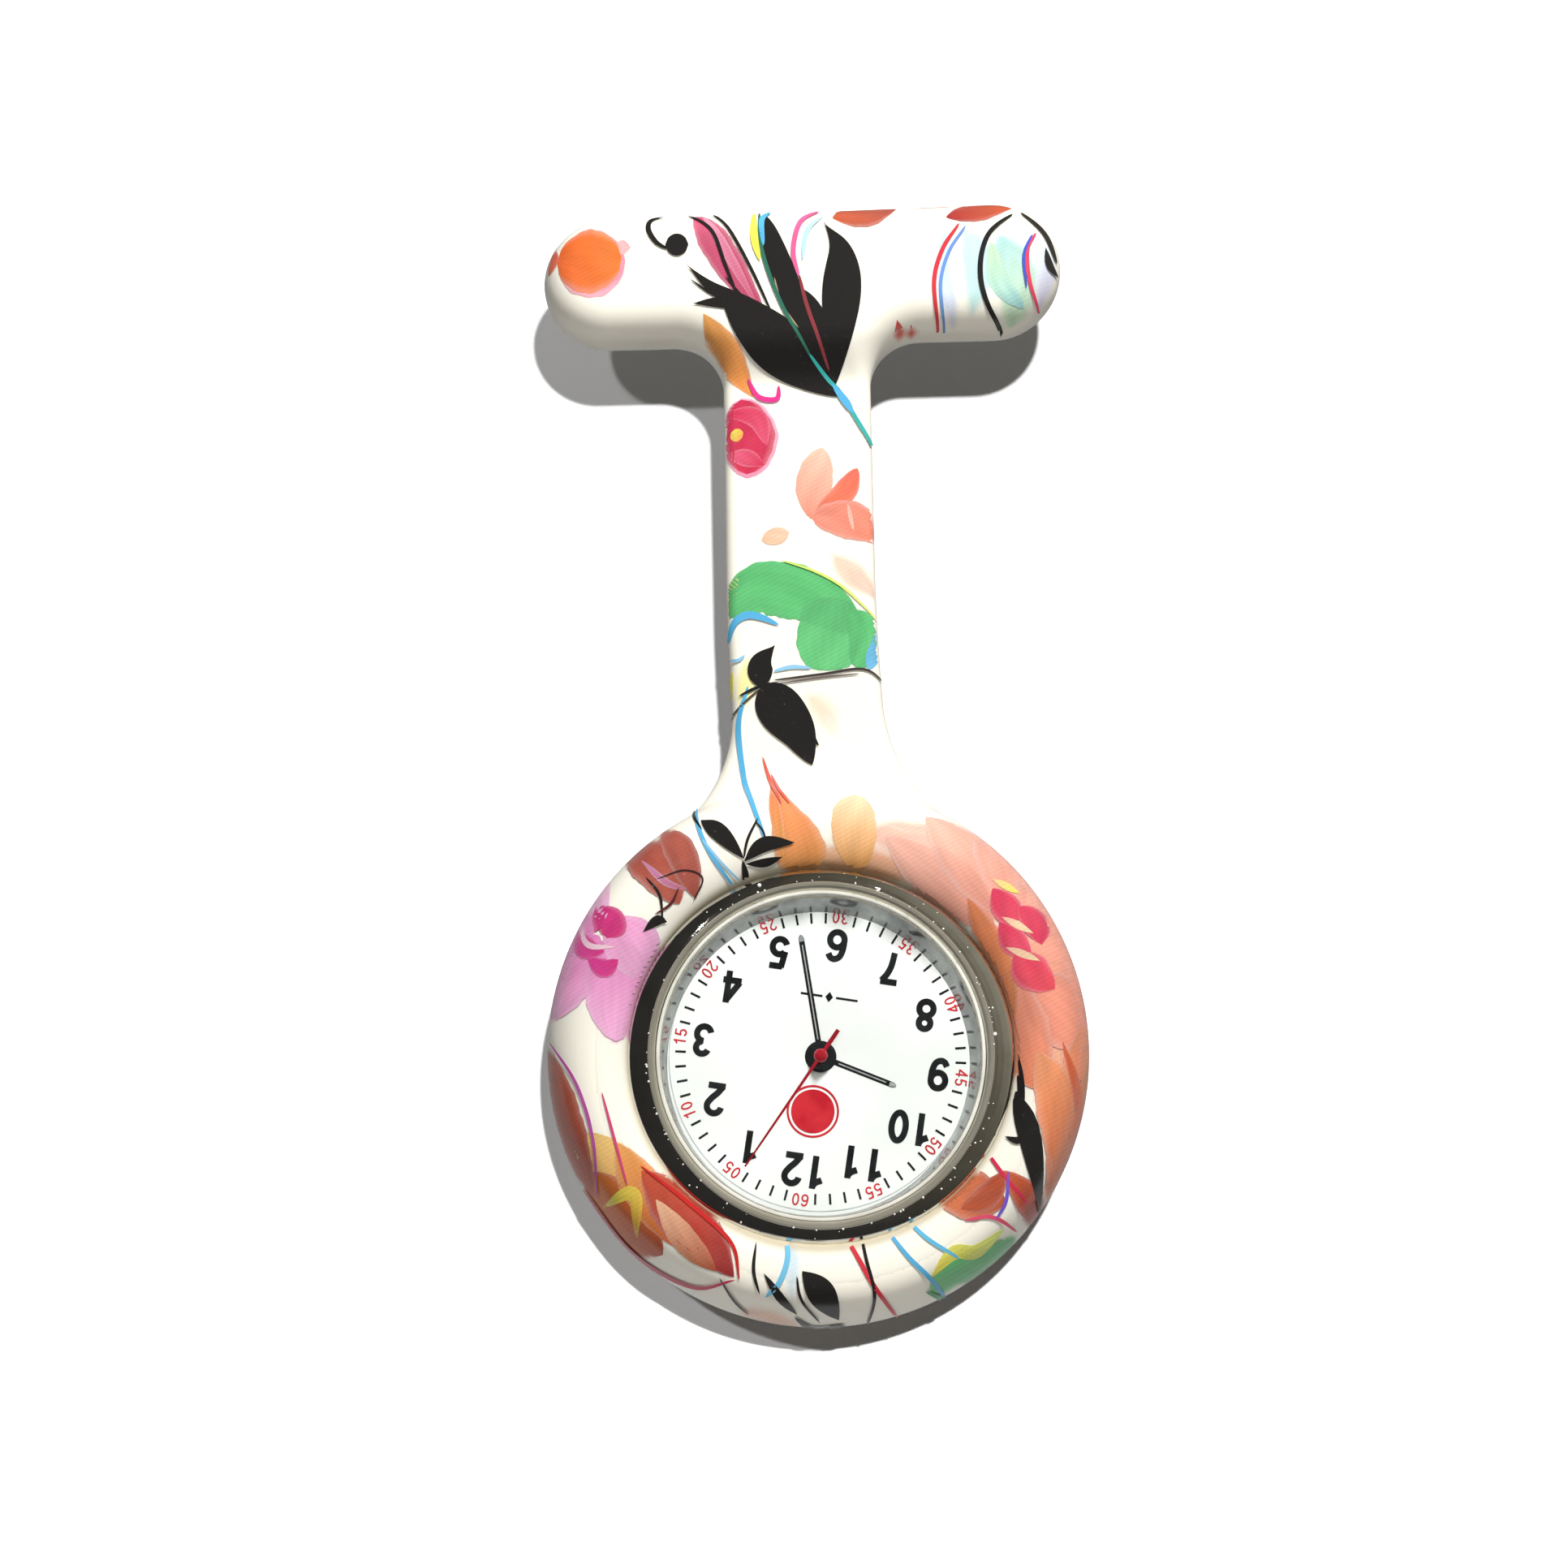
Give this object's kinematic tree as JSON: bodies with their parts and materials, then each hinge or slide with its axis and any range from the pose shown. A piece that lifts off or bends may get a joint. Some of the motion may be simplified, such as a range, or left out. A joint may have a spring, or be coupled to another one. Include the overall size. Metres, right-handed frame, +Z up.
{
  "type": "fob watch",
  "caption": "Silicone fob watch: a T-bar with a brooch pin behind it, a flexing strap and a ring that holds a round quartz watch head with its dial upside down.",
  "frame": {"origin": "middle of the brooch plate's back face, which lies on the cloth behind the T-bar", "axes": "+Z up along the hanging strap, +X to the right as the dial is read from in front, +Y back into the cloth"},
  "size_m": [0.04, 0.0126, 0.086],
  "materials": {
    "silicone": "glossy",
    "case_chrome": "polished",
    "polished_steel": "polished",
    "brushed_steel": "brushed",
    "crystal_glass": "clear",
    "white_plastic": "matte",
    "grey_plastic": "satin",
    "dial_white": "satin",
    "hand_black": "satin",
    "hand_red": "satin",
    "black_plastic": "matte",
    "train_brass": "satin",
    "board_green": "satin",
    "coil_copper": "glossy",
    "rotor_grey": "matte",
    "seal_rubber": "matte"
  },
  "bodies": {
    "top": {"holder_top": "silicone", "pin_base_plate": "brushed_steel", "needle_rivet": "brushed_steel"},
    "needle": {"needle": "polished_steel"},
    "catch": {"safety_catch": "brushed_steel"},
    "ring": {"holder_ring": "silicone"},
    "head": {"case": "case_chrome", "crystal": "crystal_glass", "crystal_gasket": "white_plastic", "rehaut_ring": "grey_plastic", "dial": "dial_white", "movement_ring": "white_plastic", "main_plate": "black_plastic", "train_bridge": "brushed_steel", "bridge_screw_1": "brushed_steel", "bridge_screw_2": "brushed_steel", "bridge_screw_3": "brushed_steel", "clamp_screw": "brushed_steel", "battery": "polished_steel", "battery_clamp": "train_brass", "circuit_board": "board_green", "chip_cap": "black_plastic", "quartz_can": "polished_steel", "stator": "brushed_steel", "coil_core": "brushed_steel", "coil_winding": "coil_copper"},
    "back": {"case_back": "brushed_steel", "case_back_gasket": "seal_rubber"},
    "setting": {"setting_lever": "brushed_steel"},
    "crown": {"crown": "case_chrome", "winding_stem": "brushed_steel"},
    "seconds": {"second_hand": "hand_red", "second_wheel": "train_brass"},
    "minutes": {"minute_hand": "hand_black", "centre_wheel": "train_brass"},
    "hours": {"hour_hand": "hand_black", "hour_wheel": "train_brass"},
    "third": {"third_wheel": "train_brass"},
    "intermediate": {"intermediate_wheel": "white_plastic"},
    "rotor": {"rotor": "rotor_grey"},
    "motion_work": {"minute_wheel": "train_brass"}
  },
  "joints": [
    {"name": "strap_flex", "type": "hinge", "parent": "top", "child": "ring", "pos_m": [0, -0.0035, -0.021], "axis": [-1, 0, 0], "range_deg": [-30, 90], "stiffness_Nm_per_rad": 0.003},
    {"name": "needle_open", "type": "hinge", "parent": "top", "child": "needle", "pos_m": [-0.0132, 0.0023, 0], "axis": [0, 0, 1], "range_deg": [0, 80]},
    {"name": "catch_turn", "type": "hinge", "parent": "top", "child": "catch", "pos_m": [0.013, 0.0023, 0], "axis": [-1, 0, 0], "range_deg": [0, 120]},
    {"name": "head_release", "type": "slide", "parent": "ring", "child": "head", "axis": [0, 1, 0], "range_m": [0, 0.012]},
    {"name": "case_back_lift", "type": "slide", "parent": "head", "child": "back", "axis": [0, 1, 0], "range_m": [0, 0.008]},
    {"name": "crown_pull", "type": "slide", "parent": "head", "child": "setting", "axis": [-0.9869, 0, 0.1616], "range_m": [0, 0.001]},
    {"name": "crown_turn", "type": "hinge", "parent": "setting", "child": "crown", "pos_m": [-0.01539, -0.0042, -0.05798], "axis": [-0.9869, 0, 0.1616], "continuous": true},
    {"name": "seconds_turn", "type": "hinge", "parent": "head", "child": "seconds", "pos_m": [0, -0.0045, -0.0605], "axis": [0, 1, 0], "continuous": true},
    {"name": "minutes_turn", "type": "hinge", "parent": "head", "child": "minutes", "pos_m": [0, -0.0045, -0.0605], "axis": [0, 1, 0], "continuous": true},
    {"name": "hours_turn", "type": "hinge", "parent": "head", "child": "hours", "pos_m": [0, -0.0045, -0.0605], "axis": [0, 1, 0], "continuous": true},
    {"name": "third_turn", "type": "hinge", "parent": "head", "child": "third", "pos_m": [0.00003, -0.003, -0.0627], "axis": [0, 1, 0], "continuous": true},
    {"name": "intermediate_turn", "type": "hinge", "parent": "head", "child": "intermediate", "pos_m": [-0.00078, -0.003, -0.05843], "axis": [0, 1, 0], "continuous": true},
    {"name": "rotor_turn", "type": "hinge", "parent": "head", "child": "rotor", "pos_m": [-0.00138, -0.003, -0.05685], "axis": [0, 1, 0], "continuous": true},
    {"name": "motion_work_turn", "type": "hinge", "parent": "head", "child": "motion_work", "pos_m": [0.00179, -0.0044, -0.05922], "axis": [0, 1, 0], "continuous": true}
  ],
  "couplings": [
    {"joint": "minutes_turn", "follows": "seconds_turn", "ratio": 0.016667},
    {"joint": "hours_turn", "follows": "seconds_turn", "ratio": 0.0013889},
    {"joint": "third_turn", "follows": "seconds_turn", "ratio": -0.125},
    {"joint": "intermediate_turn", "follows": "seconds_turn", "ratio": -6},
    {"joint": "rotor_turn", "follows": "seconds_turn", "ratio": 30},
    {"joint": "motion_work_turn", "follows": "seconds_turn", "ratio": -0.0055556}
  ]
}
